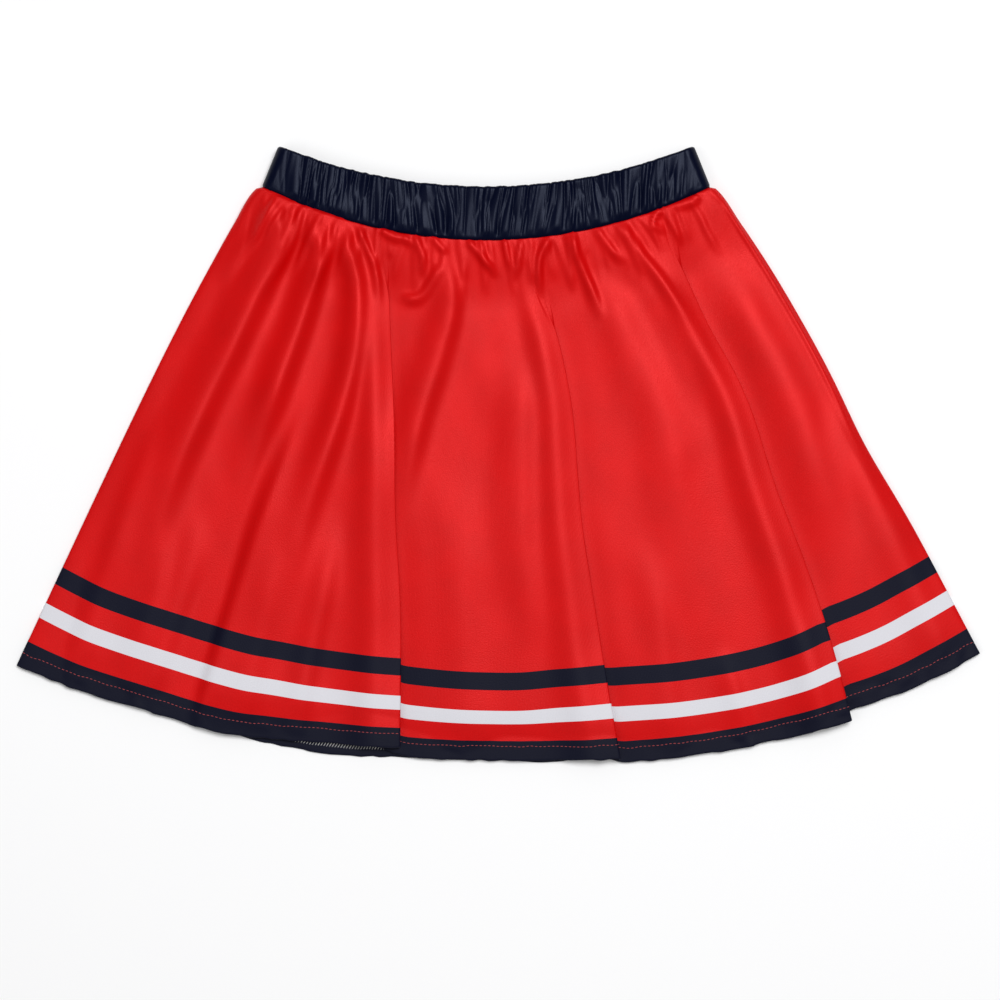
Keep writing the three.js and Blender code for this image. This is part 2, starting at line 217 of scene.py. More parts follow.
# Short gathers just below the band.
PUCKERS = [
    ([(0, -0.46), (0.012, -0.39), (0.013, -0.33), (0.03, -0.29)], 2.4, 3.5, 3),
    ([(0, -0.3), (0.04, -0.255), (0.085, -0.245)], 2.4, 4, 3),
    ([(0.125, -0.32), (0.118, -0.25), (0.075, -0.2), (0.045, -0.19)], 2.2, 5, 4),
    ([(0, -0.23), (0.018, -0.19), (0.034, -0.16)], 1.8, 2.6, 2.2),
    ([(0, -0.08), (0.035, -0.02), (0.075, 0.04)], 2.4, 3.2, 2.6),
    ([(0, -0.03), (0.04, 0), (0.06, 0.02)], 1.6, 2.4, 2),
    ([(0, 0.08), (0.03, 0.085), (0.07, 0.1)], 2, 3, 2.4),
    ([(0, 0.15), (0.04, 0.13), (0.085, 0.1)], 2.4, 3.2, 2.6),
    ([(0, 0.28), (0.045, 0.21), (0.12, 0.19)], 2.4, 4, 3.4),
    ([(0, 0.36), (0.045, 0.36), (0.11, 0.38), (0.18, 0.39)], 3, 5, 3.4),
    ([(0, 0.47), (0.04, 0.49), (0.08, 0.53)], 2.2, 3.6, 3),
    ([(0, 0.57), (0.05, 0.59), (0.12, 0.63), (0.24, 0.67)], 3, 5.5, 4),
    ([(0, 0.77), (0.012, 0.71), (0.026, 0.69), (0.045, 0.73)], 2.4, 3, 2.6),
    ([(0.004, 0.93), (0.01, 0.87), (0.003, 0.79)], 2, 3.4, 2.8),
]

# What every height is multiplied by, and how much wider a crest grows down the skirt.
RELIEF_GAIN = 1.3
WIDTH_AT_WAIST, WIDTH_GROWTH = 0.72, 0.5

# The shares of its line over which a crest fades in and out. One that starts well down
# the skirt fades in more slowly.
FADE_IN, FADE_OUT = (-0.05, 0.2), (0.65, 1.0)
LATE_START, LATE_FADE_IN = 0.25, (0.0, 0.4)

# Seeded gathers: how many, how far out in f, and the ranges of their lengths in v, of
# their leans in f, and of their widths and heights in mm.
SMALL_PUCKERS = 40
PUCKER_SEED = 7
PUCKER_REACH = 0.90
PUCKER_LONG = (0.05, 0.13)
PUCKER_LEAN = (-0.04, 0.04)
PUCKER_WIDE = (2.2, 3.8)
PUCKER_HIGH = (0.4, 1.3)

# Unevenness of the whole panel: across and down in the cloth, and height in mm.
ROUGH_ACROSS, ROUGH_DOWN, ROUGH_HIGH = 34 * MM, 80 * MM, 2.4
FINE_ACROSS, FINE_DOWN, FINE_HIGH = 13 * MM, 36 * MM, 0.8
UNEVEN_V = (0.04, 0.16)

# Fine gathers at the waist seam: their spacing, height in mm, and how far they reach.
PINCH_ACROSS, PINCH_DOWN, PINCH_HIGH = 3.3 * MM, 30 * MM, 1.1
PINCH_LEAST, PINCH_MORE = 0.05, 0.11


def drawn_line(points, steps=20):
    """The points of a line as distances in the cloth, s across and d below the waist."""
    along = np.linspace(0, len(points) - 1, steps)
    v, f = (through(list(enumerate(values)), along) for values in zip(*points))
    return f * skirt_row(v)[1], v * SKIRT_LONG


def crest_height(s, d, line_s, line_d, height, left, right, fade_out):
    """One crest over the cloth: highest on its line, with its own width on each side."""
    nearest = np.full(np.shape(s), np.inf)
    signed = np.zeros(np.shape(s))
    place = np.zeros(np.shape(s))
    count = len(line_s) - 1
    for k in range(count):
        leg_s, leg_d = line_s[k + 1] - line_s[k], line_d[k + 1] - line_d[k]
        ahead = (s - line_s[k]) * leg_s + (d - line_d[k]) * leg_d
        t = np.clip(ahead / (leg_s ** 2 + leg_d ** 2), 0, 1)
        off_s, off_d = s - line_s[k] - t * leg_s, d - line_d[k] - t * leg_d
        away = np.hypot(off_s, off_d)
        closer = away < nearest
        nearest = np.where(closer, away, nearest)
        signed = np.where(closer, np.sign(off_s * leg_d - off_d * leg_s) * away, signed)
        place = np.where(closer, (k + t) / count, place)
    width = np.where(signed < 0, left, right) * MM
    width = width * (WIDTH_AT_WAIST + WIDTH_GROWTH * np.clip(d / SKIRT_LONG, 0, 1))
    fade = smooth(*FADE_IN, place)
    if fade_out:
        fade = fade * (1 - smooth(*FADE_OUT, place))
    if line_d[0] > LATE_START * SKIRT_LONG:
        fade = fade * smooth(*LATE_FADE_IN, place)
    return RELIEF_GAIN * height * MM * fade * np.exp(-(signed / width) ** 2)


def small_puckers():
    """Seeded short gathers between the drawn ones."""
    pick = np.random.RandomState(PUCKER_SEED)
    lines = []
    for k in range(SMALL_PUCKERS):
        f = -PUCKER_REACH + 2 * PUCKER_REACH * (k + pick.uniform(0.1, 0.9)) / SMALL_PUCKERS
        long = pick.uniform(*PUCKER_LONG)
        lean = pick.uniform(*PUCKER_LEAN)
        width = pick.uniform(*PUCKER_WIDE)
        height = pick.uniform(*PUCKER_HIGH)
        line = [(-0.01, f), (long / 2, f + lean * 0.7), (long, f + lean)]
        lines.append((line, height, width, width))
    return lines


RELIEF = [(*drawn_line(line), *sizes, line[-1][0] < 1)
          for line, *sizes in CRESTS + PUCKERS + small_puckers()]


def front_relief(s, d):
    """Every crest and gather of the front panel at once."""
    total = np.zeros(np.shape(s))
    for crest in RELIEF:
        total += crest_height(s, d, *crest)
    rough = ROUGH_HIGH * blended_noise(s / ROUGH_ACROSS, d / ROUGH_DOWN, 3)
    fine = FINE_HIGH * blended_noise(s / FINE_ACROSS, d / FINE_DOWN, 4)
    down = d / SKIRT_LONG
    spread = s * (1 - 0.5 * down) / PINCH_ACROSS
    reach = PINCH_LEAST + PINCH_MORE * soft_noise(s / (8 * MM) + 40, 0.0, 13)
    pinch = PINCH_HIGH * (soft_noise(spread + 70, d / PINCH_DOWN, 12) - 0.5)
    pinch = pinch * smooth(0.0, 0.02, down) * (1 - smooth(0.2 * reach, reach, down))
    return total + (pinch + (rough + fine) * smooth(*UNEVEN_V, down)) * MM


# ---- Overlapping folds of the front ----
# At each fold the panel on the left turns under itself and runs on below, so it lies
# over the panel on its right. tuck is how far the cloth runs back under at the hem and
# crest the height of the swell before the edge, both in mm. top is the v of its start.

FOLDS = [
    {"line": [(0, -0.45), (0.10, -0.375), (0.19, -0.34), (0.32, -0.30), (0.51, -0.26), (0.7, -0.23),
              (1, -0.205)], "tuck": 15, "top": 0.04, "crest": 4.4},
    {"line": [(0, 0.20), (0.09, 0.20), (0.18, 0.225), (0.30, 0.24), (0.46, 0.235), (0.7, 0.23),
              (1, 0.24)], "tuck": 9, "top": 0.10, "crest": 3.8},
    {"line": [(0, 0.77), (0.10, 0.725), (0.20, 0.72), (0.35, 0.745), (0.60, 0.74), (0.86, 0.725),
              (1, 0.71)], "tuck": 15, "top": 0.04, "crest": 4.8},
]
FOLD_APPROACH = 6 * MM
FOLD_SPREAD = 30 * MM
CREST_BACK = 22 * MM
CREST_WIDE = 14 * MM
DIP = 1.3 * MM
DIP_WIDE = 12 * MM

# The radius of a fold's turns near its top, further down and at the hem.
ROLL_TOP, ROLL_MID, ROLL_HEM = 0.30 * MM, 0.36 * MM, 1.15 * MM
ROLL_MID_V, ROLL_HEM_V = (0.1, 0.4), (0.75, 1.0)
TUCK_GROWS, STRENGTH_GROWS = 0.5, 0.10
LEAST_TUCK = 2.4

# How much of the way through a fold is done after its first turn, the run back and the
# second turn, and over which part of it the hem's drop changes.
TURN_DONE, BACK_DONE, SECOND_DONE = 0.2, 0.5, 0.7
DROP_CHANGES = (0.6, 1.0)

# The v over which the drops below grow in, and the waves of the hem's edge, in mm.
DROP_V = (0.35, 1.0)
HEM_WAVE = 1.3

# How far each stretch of the front hem hangs below the hem's arc, in mm.
HEM_DROPS = [
    [(-1, 6.2), (-0.87, 5.4), (-0.73, 3.4), (-0.62, 4), (-0.55, 3.5), (-0.48, 1),
     (-0.35, -3.2), (-0.2, -6.2)],
    [(-0.2, 0.4), (0, 0), (0.24, 2.7)],
    [(0.24, 5.9), (0.5, 8.5), (0.71, 8.4)],
    [(0.71, 1.5), (0.78, 2), (0.85, 1.6), (0.92, -0.6), (1, -2.6)],
]
BACK_DROPS = [(-1, -1.5), (-0.62, 2), (-0.45, 4.4), (-0.3, 3.6), (-0.2, 0.6), (0, 0.8),
              (0.12, 2), (0.22, 0.5), (0.4, -2), (1, -3)]

# How much lower than the hem's arc the printed stripes lie, in mm, left and right of the
# last fold.
PRINT_DROPS = [
    [(-1, -3.4), (-0.9, -1), (-0.8, 0), (-0.7, 0.6), (-0.6, 0.8), (-0.5, 2.5),
     (-0.37, 5.9), (-0.2, 7.9), (-0.05, 9.7), (0.05, 9.6), (0.13, 7.4), (0.24, 5.8), (0.42, 7),
     (0.65, 5.5), (0.71, 3)],
    [(0.71, -0.6), (0.8, -2.2), (0.9, -4), (1, -5)],
]

# Columns in the stretches between the folds, and in each part of a fold.
STRETCHES = [100, 54, 54, 44]
APPROACH, ROLL, TUCK, UNDER = 3, 6, 3, 6


def front_columns():
    """For every column: its stretch, which part of a fold it is in, and how far along."""
    rows = []
    for k, count in enumerate(STRETCHES):
        first = 0 if k == 0 else 1
        last = count if k == len(STRETCHES) - 1 else count - 1
        for i in range(first, last + 1):
            along = i / count
            if k == 0:
                along = along ** 1.5
            elif k == len(STRETCHES) - 1:
                along = 1 - (1 - along) ** 1.5
            rows.append((k, 0, along))
        if k < len(FOLDS):
            for part, steps in enumerate((APPROACH, ROLL, TUCK, ROLL, UNDER), start=1):
                rows += [(k, part, i / steps) for i in range(steps)]
            rows.append((k, 5, 1.0))
    return np.array(rows).T


def fold_at(k, v, half_long):
    """Where fold k runs on the row at v, its tuck, the radius of its turns, its strength."""
    fold = FOLDS[k]
    grown = smooth(fold["top"], fold["top"] + TUCK_GROWS, v)
    radius = ROLL_TOP + (ROLL_MID - ROLL_TOP) * smooth(*ROLL_MID_V, v)
    radius = radius + (ROLL_HEM - ROLL_MID) * smooth(*ROLL_HEM_V, v)
    least = LEAST_TUCK * radius
    tuck = least + (fold["tuck"] * MM - least) * grown
    strength = smooth(fold["top"], fold["top"] + STRENGTH_GROWS, v)
    return through(fold["line"], v) * half_long, tuck, radius, strength


def fold_section(part, t, tuck, radius):
    """Across and up from the fold's edge, the outward direction, and how far through."""
    turn = math.pi * t
    if part == 1:
        return -radius - (1 - t) * (FOLD_APPROACH - radius), 4 * radius, 0.0, 1.0, 0.0
    if part == 2:
        return (-radius + radius * math.sin(turn), 3 * radius + radius * math.cos(turn),
                math.sin(turn), math.cos(turn), TURN_DONE * t)
    if part == 3:
        return (-radius - t * (tuck - 2 * radius), 2 * radius, 0.0, -1.0,
                TURN_DONE + (BACK_DONE - TURN_DONE) * t)
    if part == 4:
        return (-tuck + radius - radius * math.sin(turn), radius + radius * math.cos(turn),
                math.sin(turn), -math.cos(turn), BACK_DONE + (SECOND_DONE - BACK_DONE) * t)
    return (-tuck + radius + t * (tuck - radius + FOLD_APPROACH), 0.0, 0.0, 1.0,
            SECOND_DONE + (1 - SECOND_DONE) * t)


# ---- Heights ----

# How high the front lies, how much lower its hem, how it droops there in mm, how far in
# the panels' edges are rounded, how much the sides sink, and the hem's puckers in mm.
LYING_HIGH, LYING_LOWER = 7.4 * MM, 1.0 * MM
DROOP_ALL, DROOP_MIDDLE = 1.0, 2.2
FRONT_EDGE, BACK_EDGE = 12 * MM, 9 * MM
SIDE_LEAN, LEAN_RIGHT = 2.4 * MM, 0.4
HEM_PUCKER = 1.5
PRINT_SETTLES = 34 * MM


def rounded_edge(body, seam, edge, reach):
    """body in the middle of the panel, rolling down to seam over the last reach."""
    inwards = np.clip(edge / reach, 0, 1)
    return seam + (body - seam) * np.sqrt(np.clip(1 - (1 - inwards) ** 2, 0, 1))


def seam_height(v):
    return BAND_MID_Z + (SIDE_Z - BAND_MID_Z) * smooth(0.0, 0.15, v)


def hem_ripple(s, from_hem, seed):
    """Small puckers from just above the hem's stitching down to its edge, -0.5 to 0.5."""
    near = 1 - smooth(6 * MM, 16 * MM, from_hem)
    return (soft_noise(s / (7 * MM) + 60, from_hem / (9 * MM), seed) - 0.5) * near


def front_base(f, v, half_long, from_hem):
    """The height of the front cloth before its folds overlap."""
    s = f * half_long
    lying = LYING_HIGH - LYING_LOWER * smooth(0.3, 0.9, v)
    droop = DROOP_ALL + DROOP_MIDDLE * np.clip(1 - np.abs(f) / 0.85, 0, 1)
    droop = droop * MM * smooth(0.91, 1.0, v)
    top = BAND_MID_Z + BAND_RADIUS - 0.3 * MM
    body = top + (lying - droop - top) * smooth(0.0, 0.14, v)
    relief = front_relief(s, v * SKIRT_LONG)
    body = body + relief * (1 - 0.35 * smooth(0.9, 1.0, v))
    body = body + HEM_PUCKER * hem_ripple(s, from_hem, 5) * MM
    lean = np.where(f < 0, smooth(0.72, 1.05, -f), LEAN_RIGHT * smooth(0.86, 1.05, f))
    lean = SIDE_LEAN * lean
    body = np.maximum(body - lean * smooth(0.1, 0.3, v), INNER_ROOM)
    edge = (1 - np.abs(f)) * half_long
    reach = BAND_RADIUS + (FRONT_EDGE - BAND_RADIUS) * smooth(0.0, 0.2, v)
    return rounded_edge(body, seam_height(v), edge, reach)


def print_distance(v, lower):
    """How far from the hem the printed pattern is read, where it lies lower mm lower."""
    from_hem = (1 - v) * SKIRT_LONG
    return from_hem + lower * MM * smooth(0, PRINT_SETTLES, from_hem)


# ---- Making a cloth from a grid ----

def cloth_grid(name, xyz, uv):
    """A sheet of quads through xyz[row, column], with its own cloth map from uv."""
    rows, columns = xyz.shape[:2]
    bm = bmesh.new()
    bmesh.ops.create_grid(bm, x_segments=columns - 1, y_segments=rows - 1, size=0.5)
    layer = bm.loops.layers.uv.new("cloth")
    place = {}
    for vertex in bm.verts:
        i = round((vertex.co.x + 0.5) * (columns - 1))
        j = round((vertex.co.y + 0.5) * (rows - 1))
        place[vertex] = (j, i)
    for face in bm.faces:
        for loop in face.loops:
            loop[layer].uv = uv[place[loop.vert]]
        face.smooth = True
    for vertex, spot in place.items():
        vertex.co = xyz[spot]
    bm.normal_update()
    return piece_from(name, bm)


def piece_from(name, bm):
    mesh = bpy.data.meshes.new(name)
    bm.to_mesh(mesh)
    bm.free()
    piece = bpy.data.objects.new(name, mesh)
    bpy.context.collection.objects.link(piece)
    return piece


def blank_grid(rows, columns):
    """Zeros for the places and the cloth map of a grid."""
    return np.zeros((rows, columns, 3)), np.zeros((rows, columns, 2))


def thicken(piece, thickness):
    solid = piece.modifiers.new("thickness", "SOLIDIFY")
    solid.thickness = thickness
    solid.offset = 0.0
    return piece


# Rows are closer together below the waist seam and at the hem.
GATHERS_END, HEM_START = 0.2, 0.93
GATHER_ROWS, MIDDLE_ROWS, HEM_ROWS, TURN_ROWS = 38, 54, 20, 6


def panel_rows():
    """(v, turn of the hem, distance back up inside it) down a panel and round its hem."""
    body = np.concatenate([np.linspace(0, GATHERS_END, GATHER_ROWS, endpoint=False),
                           np.linspace(GATHERS_END, HEM_START, MIDDLE_ROWS, endpoint=False),
                           np.linspace(HEM_START, 1, HEM_ROWS)])
    rows = [(v, 0.0, 0.0) for v in body]
    rows += [(1.0, math.pi * j / TURN_ROWS, 0.0) for j in range(1, TURN_ROWS + 1)]
    rows += [(1.0, math.pi, HEM_TURN * j / TURN_ROWS) for j in range(1, TURN_ROWS + 1)]
    return rows


def front_panel(rows):
    stretch, part, along = front_columns()
    xyz, uv = blank_grid(len(rows), len(stretch))
    hem_half = skirt_row(1.0)[1]
    for j, (v, turn, up) in enumerate(rows):
        here_v = v - up / SKIRT_LONG
        row = skirt_row(here_v)
        half_long = row[1]
        s, rise, lift = np.zeros((3, len(stretch)))
        out_s, out_z, done = np.zeros(len(stretch)), np.ones(len(stretch)), np.zeros(len(stretch))
        folds = [fold_at(k, here_v, half_long) for k in range(len(FOLDS))]
        marks = [-half_long] + [fold[0] for fold in folds] + [half_long]
        for k in range(len(STRETCHES)):
            here = (stretch == k) & (part == 0)
            low = marks[k] + (FOLD_APPROACH if k else 0)
            high = marks[k + 1] - (FOLD_APPROACH if k < len(FOLDS) else 0)
            s[here] = low + (high - low) * along[here]
        for k, (line, tuck, radius, strength) in enumerate(folds):
            spots = np.flatnonzero((stretch == k) & (part > 0))
            for spot, flat in zip(spots, np.linspace(-FOLD_APPROACH, FOLD_APPROACH, len(spots))):
                section = fold_section(part[spot], along[spot], tuck, radius)
                ds, dz, across, outwards, part_done = section
                s[spot] = line + flat + (ds - flat) * strength
                rise[spot] = dz * strength
                out_s[spot] = across * strength
                out_z[spot] = 1 + (outwards - 1) * strength
                done[spot] = part_done
            swell = FOLDS[k]["crest"] * MM * smooth(0.0, 0.25, here_v)
            back = line - CREST_BACK * (0.45 + 0.55 * here_v) - s
            back = back / (CREST_WIDE * (0.5 + 0.5 * here_v))
            before = (stretch == k) & (part <= 1)
            lift[before] += swell * np.exp(-back[before] ** 2)
            rising = (stretch == k) & (part == 0)
            lift[rising] += 4 * radius * strength * np.exp(-((line - s[rising]) / FOLD_SPREAD) ** 2)
            edge_swell = swell * np.exp(-(CREST_BACK / CREST_WIDE) ** 2)
            inside = (stretch == k) & (part > 1)
            lift[inside] += edge_swell * (1 - done[inside])
            after = (stretch == k + 1) & (part == 0) | (stretch == k) & (part == 5)
            lift[after] -= DIP * strength * np.exp(-((s[after] - line) / DIP_WIDE) ** 2)
        f = s / half_long
        from_hem = (1 - here_v) * SKIRT_LONG
        z = front_base(f, here_v, half_long, from_hem) + rise + lift
        drop = np.zeros(len(stretch))
        for k, points in enumerate(HEM_DROPS):
            here = (stretch == k) & (part == 0)
            drop[here] = through(points, f[here])
        for k in range(len(FOLDS)):
            here = (stretch == k) & (part > 0)
            left, right = through(HEM_DROPS[k], f[here]), through(HEM_DROPS[k + 1], f[here])
            drop[here] = left + (right - left) * smooth(*DROP_CHANGES, done[here])
        drop = drop + HEM_WAVE * hem_ripple(s, from_hem, 6)
        drop = drop * MM * smooth(*DROP_V, here_v)
        size = np.maximum(np.hypot(out_s, out_z), 0.3)
        inward = HEM_ROLL * (1 - math.cos(turn))
        s = s - inward * out_s / size
        z = z - inward * out_z / size
        x, y = on_row(row, s, drop + HEM_ROLL * math.sin(turn))
        xyz[j] = np.stack([x, y, z], axis=1)
        uv[j, :, 0] = f * hem_half + 2 * FOLD_APPROACH * (stretch + done)
        last = len(FOLDS)
        in_last_fold = (stretch == last - 1) & (part > 0)
        beyond = np.where(stretch == last, 1.0, np.where(in_last_fold, done, 0.0))
        lower = through(PRINT_DROPS[0], f) * (1 - beyond) + through(PRINT_DROPS[1], f) * beyond
        uv[j, :, 1] = print_distance(v, lower) - up - HEM_ROLL * turn
    return thicken(cloth_grid("skirt_front", xyz, uv), CLOTH), xyz


BACK_COLUMNS = 231
BACK_LIES, BACK_HIGHER = 0.45 * MM, 1.75 * MM


def back_panel(rows):
    closer = math.pi / 2 * 0.9
    f = np.sin(np.linspace(-1, 1, BACK_COLUMNS) * closer) / math.sin(closer)
    xyz, uv = blank_grid(len(rows), len(f))
    hem_half = skirt_row(1.0)[1]
    for j, (v, turn, up) in enumerate(rows):
        here_v = v - up / SKIRT_LONG
        row = skirt_row(here_v)
        half_long = row[1]
        s = f * half_long
        flat = BACK_LIES + BACK_HIGHER * (1 - smooth(0, 0.1, here_v))
        wave = soft_noise(s / (26 * MM) + 40, here_v * 5, 8) ** 2
        gather = soft_noise((s + 0.3 * here_v * s) / (4 * MM) + 90, here_v * 9, 9)
        gather = 1.2 * MM * gather * smooth(0.0, 0.015, here_v)
        flat = flat + 1.1 * MM * wave * smooth(0.05, 0.3, here_v)
        flat = flat + gather * (1 - smooth(0.03, 0.2, here_v))
        edge = (1 - np.abs(f)) * half_long
        reach = BAND_RADIUS + (BACK_EDGE - BAND_RADIUS) * smooth(0.0, 0.2, here_v)
        z = rounded_edge(flat, seam_height(here_v) - SEAM_GAP, edge, reach)
        z = z + HEM_ROLL * (1 - math.cos(turn))
        from_hem = (1 - here_v) * SKIRT_LONG
        drop = through(BACK_DROPS, f) + HEM_WAVE * hem_ripple(s, from_hem, 10)
        drop = drop * MM * smooth(*DROP_V, here_v)
        x, y = on_row(row, s, drop + HEM_ROLL * math.sin(turn))
        xyz[j] = np.stack([x, y, z], axis=1)
        uv[j, :, 0] = s * hem_half / half_long
        uv[j, :, 1] = (1 - v) * SKIRT_LONG - up - HEM_ROLL * turn
    return thicken(cloth_grid("skirt_back", xyz, uv), CLOTH), xyz


# ---- Waistband ----

BAND_COLUMNS = 520
BAND_ENDS = 10

# The gathers' shares of creases and ridges, their calmer ends, and their puffs in mm.
CREASES_BROAD, CREASES_NARROW, RIDGES = 0.38, 0.26, 0.36
CALM_ENDS = 0.7
PUFF_FRONT, PUFF_BACK = (4.3, -1.75), (0.75, -0.65)
SCALLOP = 1.3 * MM
OUTER_ROWS, TOP_ROWS, INNER_ROWS = 22, 8, 10
CLOTH_PER_RUN = 1.3
ELASTIC_THICK = 1.2 * MM
ELASTIC_FROM, ELASTIC_TO = 1.15 * MM, 33.15 * MM
ELASTIC_ROWS, ELASTIC_COLUMNS = 9, 140


def gathers(s, h, half_long, seed):
    """The upright wrinkles of the casing, from 0 in a crease to 1 on a puff."""
    far = np.abs(s) / half_long
    lean = (soft_noise(s / (38 * MM) + 20, 0.0, seed) - 0.5) * 0.35
    warp = (soft_noise(s / (13 * MM) + 30, h / (19 * MM), seed + 1) - 0.5) * 2.2 * MM
    across = s + lean * h + warp
    broad = np.abs(2 * soft_noise(across / (6.2 * MM) + 70, h / (60 * MM), seed + 2) - 1)
    narrow = np.abs(2 * soft_noise(across / (2.8 * MM) + 90, h / (34 * MM), seed + 3) - 1)
    ridges = soft_noise(across / (3.4 * MM) + 50, h / (40 * MM), seed + 5)
    folds = CREASES_BROAD * np.sqrt(broad) + CREASES_NARROW * np.sqrt(narrow) + RIDGES * ridges
    calm = 0.35 + 0.25 * soft_noise(s / (14 * MM) + 40, h / (30 * MM), seed + 4)
    ends = CALM_ENDS * smooth(0.84, 0.95, far)
    return folds * (1 - ends) + calm * ends


def casing_path():
    """(t up the band, offset outwards, turn) up the outer ply, over the fold, down inside."""
    turn_radius = CASING_HALF - 0.35 * MM
    top = 1 - CASING_HALF / BAND_TALL
    path = [(-0.03, turn_radius - 1.5 * MM, 0.0), (-0.03, turn_radius - 0.7 * MM, 0.0),
            (0.0, turn_radius - 0.2 * MM, 0.0), (0.02, turn_radius, 0.0)]
    path += [(0.02 + (top - 0.02) * j / OUTER_ROWS, turn_radius, 0.0)
             for j in range(1, OUTER_ROWS + 1)]
    for j in range(1, TOP_ROWS + 1):
        turn = math.pi * j / TOP_ROWS
        over = turn_radius * math.sin(turn) / BAND_TALL
        path.append((top + over, turn_radius * math.cos(turn), turn))
    path += [(top - top * j / INNER_ROWS, -turn_radius, math.pi)
             for j in range(1, INNER_ROWS + 1)]
    return path


def on_ring(row, p, out, side):
    """x, y and z on the flattened ring of a band row, out from its middle line, and s."""
    half_long = row[1]
    flat = half_long - BAND_RADIUS
    turn = np.maximum(np.abs(p) - 1, 0) * math.pi / 2
    reach = BAND_RADIUS + out
    s = np.clip(p, -1, 1) * flat + np.sign(p) * reach * np.sin(turn)
    x, y = on_row(row, s)
    return x, y, BAND_MID_Z + side * reach * np.cos(turn), s


def ring_places(columns, last):
    corner = np.linspace(last, 1, BAND_ENDS, endpoint=False)
    return np.concatenate([-corner, np.linspace(-1, 1, columns), corner[::-1]])


def casing(name, side, seed):
    p = ring_places(BAND_COLUMNS, 2 - 0.3 * MM / (math.pi * BAND_RADIUS))
    path = casing_path()
    xyz, uv = blank_grid(len(path), len(p))
    run = 0.0
    for j, (t, out, turn) in enumerate(path):
        row = band_row(t)
        s = p * (row[1] - BAND_RADIUS)
        outer = 0.5 + 0.5 * math.cos(turn)
        folds = gathers(s, t * BAND_TALL, row[1], seed)
        high, base = PUFF_FRONT if side > 0 else PUFF_BACK
        puff = (high * folds + base) * MM
        puff = puff * outer * smooth(-0.012, 0.14, t) * (1 - smooth(1, 1.6, np.abs(p)))
        scallop = SCALLOP * (folds - 0.6) * smooth(0.88, 1.0, t)
        x, y, z, s = on_ring(row, p, out + puff - 0.3 * MM * (1 - outer) * folds, side)
        xyz[j] = np.stack([x, y + scallop, z], axis=1)
        if j:
            run += float(np.linalg.norm(xyz[j, len(p) // 2] - xyz[j - 1, len(p) // 2]))
        uv[j, :, 0] = s * CLOTH_PER_RUN
        uv[j, :, 1] = run
    return thicken(cloth_grid(name, xyz, uv), CLOTH), xyz


def elastic_ring():
    """The flat elastic inside the casing: one closed ribbed band."""
    low, high = ELASTIC_FROM / BAND_TALL, ELASTIC_TO / BAND_TALL
    half = ring_places(ELASTIC_COLUMNS, 2)
    xyz, uv = blank_grid(ELASTIC_ROWS, 2 * len(half) - 1)
    for j in range(ELASTIC_ROWS):
        t = low + (high - low) * j / (ELASTIC_ROWS - 1)
        row = band_row(t)
        front = on_ring(row, half, 0.0, 1)
        back = on_ring(row, half, 0.0, -1)
        for axis in range(3):
            xyz[j, :, axis] = np.concatenate([front[axis], back[axis][-2::-1]])
        uv[j, :, 0] = np.arange(uv.shape[1]) * MM
        uv[j, :, 1] = t * BAND_TALL
    piece = cloth_grid("elastic_webbing", xyz, uv)
    bm = bmesh.new()
    bm.from_mesh(piece.data)
    bmesh.ops.remove_doubles(bm, verts=bm.verts, dist=0.01 * MM)
    bm.to_mesh(piece.data)
    bm.free()
    return thicken(piece, ELASTIC_THICK)


# ---- Stitches ----
# Rows of stitches: the step, each thread's length and thickness and, where given, its
# turn from the row and how deep it sinks.

STITCH = (3.0 * MM, 2.4 * MM, 0.5 * MM)
OVERLOCK = (2.0 * MM, 5.6 * MM, 0.5 * MM)
OVERLOCK_SLANT = math.radians(62)
WAIST_STITCH = (2.0 * MM, 4.4 * MM, 0.7 * MM, math.radians(78), -0.4)
SIDE_STITCH = (1.5 * MM, 5.8 * MM, 0.8 * MM, math.radians(78), 0.5)
LABEL_STITCH = (2.4 * MM, 2.0 * MM, 0.4 * MM)
BAND_STITCH = (2.4 * MM, 2.0 * MM, 0.45 * MM)
SIDE_V, SIDE_POINTS, SIDE_IN, SIDE_BELOW = (0.035, 0.962), 160, 4.2 * MM, 0.3 * MM


def sampled(points, reach, places):
    return np.stack([np.interp(places, reach, points[:, k]) for k in range(3)], axis=1)


def stitches(name, points, normals, step, long, thick, slant=0.0, sink=0.2):
    """A row of short threads along points, lying on the cloth by its normals."""
    legs = np.linalg.norm(np.diff(points, axis=0), axis=1)
    reach = np.concatenate([[0], np.cumsum(legs)])
    places = np.arange(step / 2, reach[-1], step)
    spots = sampled(points, reach, places)
    behind = sampled(points, reach, places - step / 4)
    directions = sampled(points, reach, places + step / 4) - behind
    bm = bmesh.new()
    for spot, direction, up in zip(spots, directions, sampled(normals, reach, places)):
        forward = Vector(direction).normalized()
        upward = Vector(up)
        upward = (upward - forward * upward.dot(forward)).normalized()
        forward = Matrix.Rotation(slant, 3, upward) @ forward
        turn = Matrix((forward, upward.cross(forward), upward)).transposed().to_4x4()
        size = Matrix.Diagonal((long / 2, thick / 2, thick / 2, 1))
        move = Matrix.Translation(Vector(spot) + upward * thick * (0.5 - sink))
        bmesh.ops.create_icosphere(bm, subdivisions=1, radius=1, matrix=move @ turn @ size)
    for face in bm.faces:
        face.smooth = True
    return piece_from(name, bm)


def row_normals(xyz, j):
    """The cloth's outward direction along row j of a grid."""
    across = np.gradient(xyz[j], axis=0)
    down = xyz[min(j + 1, len(xyz) - 1)] - xyz[max(j - 1, 0)]
    normal = np.cross(down, across)
    return normal / np.maximum(np.linalg.norm(normal, axis=1, keepdims=True), 1e-9)


def stitches_on(name, xyz, j, face, *sizes, **options):
    """Stitches along row j of a cloth, on its outward face (1) or its inward face (-1)."""
    normals = row_normals(xyz, j) * face
    return stitches(name, xyz[j] + normals * CLOTH / 2, normals, *sizes, **options)


